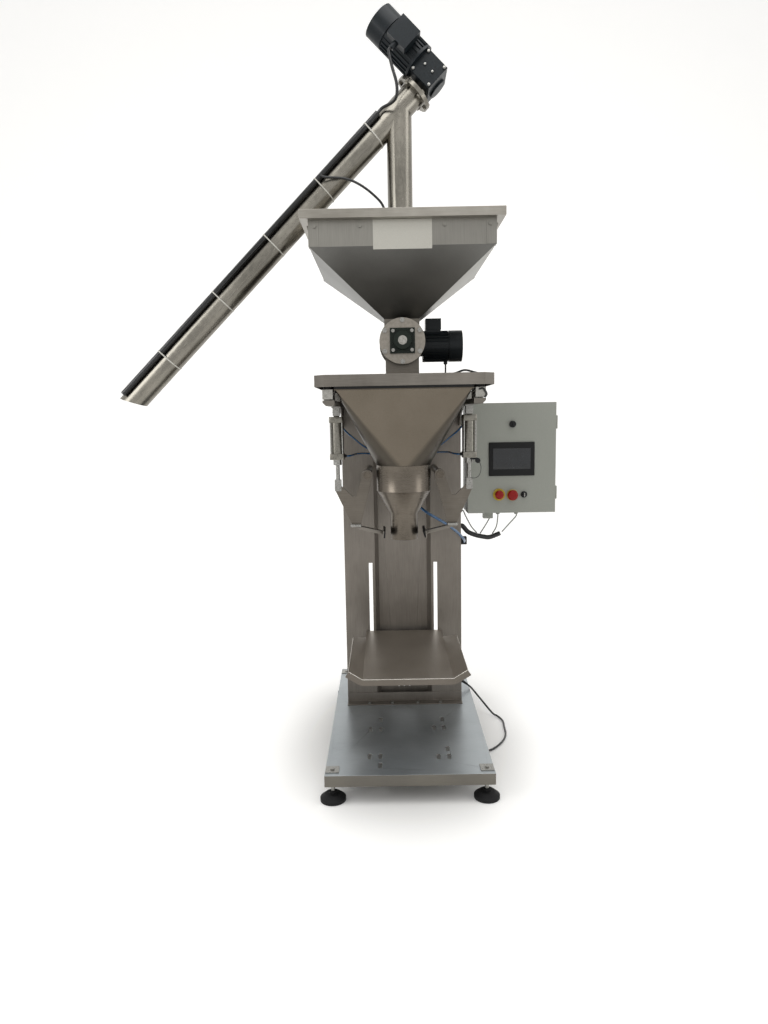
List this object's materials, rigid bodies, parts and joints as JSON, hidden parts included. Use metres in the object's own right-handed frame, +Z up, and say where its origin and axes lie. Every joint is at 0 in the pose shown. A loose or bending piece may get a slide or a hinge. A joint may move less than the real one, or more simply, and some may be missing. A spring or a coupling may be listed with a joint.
{
  "type": "sack filling machine",
  "caption": "Floor standing sack filler: slanted screw conveyor, hopper, rotary valve and weigh funnel over a clamped spout, with a tray, a column and a control panel.",
  "frame": {"origin": "on the floor under the axis of the filling spout", "axes": "+X to the operator's right, +Y from the operator towards the column, +Z up"},
  "size_m": [1.9054, 1.3456, 3.0478],
  "materials": {
    "stainless": "brushed stainless sheet",
    "stainless_warm": "brushed stainless sheet in shade",
    "stainless_cool": "brushed stainless sheet, lying flat",
    "zinc": "zinc plated steel",
    "cell_steel": "nickel plated steel",
    "cylinder_alloy": "clear anodised aluminium",
    "plate_alloy": "bare aluminium",
    "motor_paint": "dark green-black enamel",
    "bearing_paint": "dark green enamel",
    "panel_paint": "light gray powder coat",
    "seal_black": "black paint",
    "foot_rubber": "black rubber",
    "black_plastic": "black plastic",
    "screen_black": "black glass front",
    "red_plastic": "red plastic",
    "hose_blue": "blue polyurethane hose",
    "cable_black": "black cable sheath"
  },
  "bodies": {
    "frame": {"base_pan": "stainless_cool", "rear_deck": "stainless_cool", "foot_pads": "foot_rubber", "foot_spindles": "zinc", "foot_nuts": "zinc", "foot_blocks": "stainless_cool", "column": "stainless_warm", "column_foot": "stainless_warm", "foot_bolts": "zinc", "support_arms": "stainless", "cylinder_hangers": "zinc", "load_cells": "cell_steel", "load_feet": "foot_rubber", "top_pan": "stainless", "funnel_frame": "seal_black", "weigh_funnel": "stainless", "funnel_collar": "stainless", "filling_spout": "stainless", "valve_housing": "stainless", "valve_covers": "stainless", "cover_bolts": "zinc", "flange_bearing": "bearing_paint", "valve_gearbox": "motor_paint", "valve_motor": "motor_paint", "hopper": "stainless", "hopper_lid": "stainless", "hopper_trim": "zinc", "name_plate": "plate_alloy", "conveyor_tube": "stainless", "conveyor_end": "stainless", "conveyor_gearbox": "motor_paint", "conveyor_motor": "motor_paint", "conveyor_conduit": "cable_black", "pivot_posts": "stainless", "enclosure": "panel_paint", "control_cables": "cable_black", "mains_cord": "cable_black", "mains_coil": "cable_black", "mains_plug": "black_plastic"},
    "valve_rotor": {"valve_rotor": "zinc"},
    "auger": {"auger_shaft": "zinc", "auger_flight": "zinc"},
    "clamp_r": {"clamp_lever_r": "stainless", "clamp_jaw_r": "stainless"},
    "clamp_l": {"clamp_lever_l": "stainless", "clamp_jaw_l": "stainless"},
    "cylinder_r": {"cylinder_r": "cylinder_alloy", "air_hoses_r": "hose_blue"},
    "cylinder_l": {"cylinder_l": "cylinder_alloy", "air_hoses_l": "hose_blue"},
    "rod_r": {"rod_r": "zinc"},
    "rod_l": {"rod_l": "zinc"},
    "tray": {"tray": "stainless_warm", "tray_bolts": "zinc"},
    "door": {"enclosure_door": "panel_paint", "operator_screen": "screen_black"},
    "stop_button": {"stop_button": "red_plastic"},
    "push_button": {"push_button": "red_plastic"},
    "selector_knob": {"selector_knob": "black_plastic"},
    "latch_knob": {"latch_knob": "black_plastic"}
  },
  "joints": [
    {"name": "valve_spin", "type": "hinge", "parent": "frame", "child": "valve_rotor", "pos_m": [0, 0, 1.75], "axis": [0, 1, 0], "continuous": true},
    {"name": "screw_spin", "type": "hinge", "parent": "frame", "child": "auger", "pos_m": [0.067, 0.17, 2.748], "axis": [-0.7071, 0, -0.7071], "continuous": true},
    {"name": "clamp_r_close", "type": "hinge", "parent": "frame", "child": "clamp_r", "pos_m": [0.147, 0, 1.228], "axis": [0, 1, 0], "range_deg": [0, 5.2]},
    {"name": "clamp_l_close", "type": "hinge", "parent": "frame", "child": "clamp_l", "pos_m": [-0.147, 0, 1.228], "axis": [0, -1, 0], "range_deg": [0, 5.2]},
    {"name": "cylinder_r_swing", "type": "hinge", "parent": "frame", "child": "cylinder_r", "pos_m": [0.267, 0, 1.484], "axis": [0, 1, 0], "range_deg": [0, 1]},
    {"name": "cylinder_l_swing", "type": "hinge", "parent": "frame", "child": "cylinder_l", "pos_m": [-0.267, 0, 1.484], "axis": [0, -1, 0], "range_deg": [0, 1]},
    {"name": "rod_r_stroke", "type": "slide", "parent": "cylinder_r", "child": "rod_r", "axis": [0, 0, -1], "range_m": [0, 0.011]},
    {"name": "rod_l_stroke", "type": "slide", "parent": "cylinder_l", "child": "rod_l", "axis": [0, 0, -1], "range_m": [0, 0.011]},
    {"name": "tray_height", "type": "slide", "parent": "frame", "child": "tray", "axis": [0, 0, 1], "range_m": [-0.08, 0.25]},
    {"name": "door_swing", "type": "hinge", "parent": "frame", "child": "door", "pos_m": [0.7075, 0.3715, 1.265], "axis": [0, 0, 1], "range_deg": [0, 120]},
    {"name": "stop_press", "type": "slide", "parent": "door", "child": "stop_button", "axis": [0, 1, 0], "range_m": [0, 0.0045]},
    {"name": "push_press", "type": "slide", "parent": "door", "child": "push_button", "axis": [0, 1, 0], "range_m": [0, 0.0045], "stiffness_N_per_m": 600},
    {"name": "selector_turn", "type": "hinge", "parent": "door", "child": "selector_knob", "pos_m": [0.558, 0.353, 1.099], "axis": [0, 1, 0], "range_deg": [-45, 45]},
    {"name": "latch_turn", "type": "hinge", "parent": "door", "child": "latch_knob", "pos_m": [0.504, 0.353, 1.419], "axis": [0, 1, 0], "range_deg": [0, 90]}
  ],
  "couplings": [
    {"joint": "cylinder_r_swing", "follows": "clamp_r_close", "ratio": 0.17485},
    {"joint": "rod_r_stroke", "follows": "clamp_r_close", "m_per_rad": 0.11801},
    {"joint": "cylinder_l_swing", "follows": "clamp_l_close", "ratio": 0.17485},
    {"joint": "rod_l_stroke", "follows": "clamp_l_close", "m_per_rad": 0.11801}
  ]
}
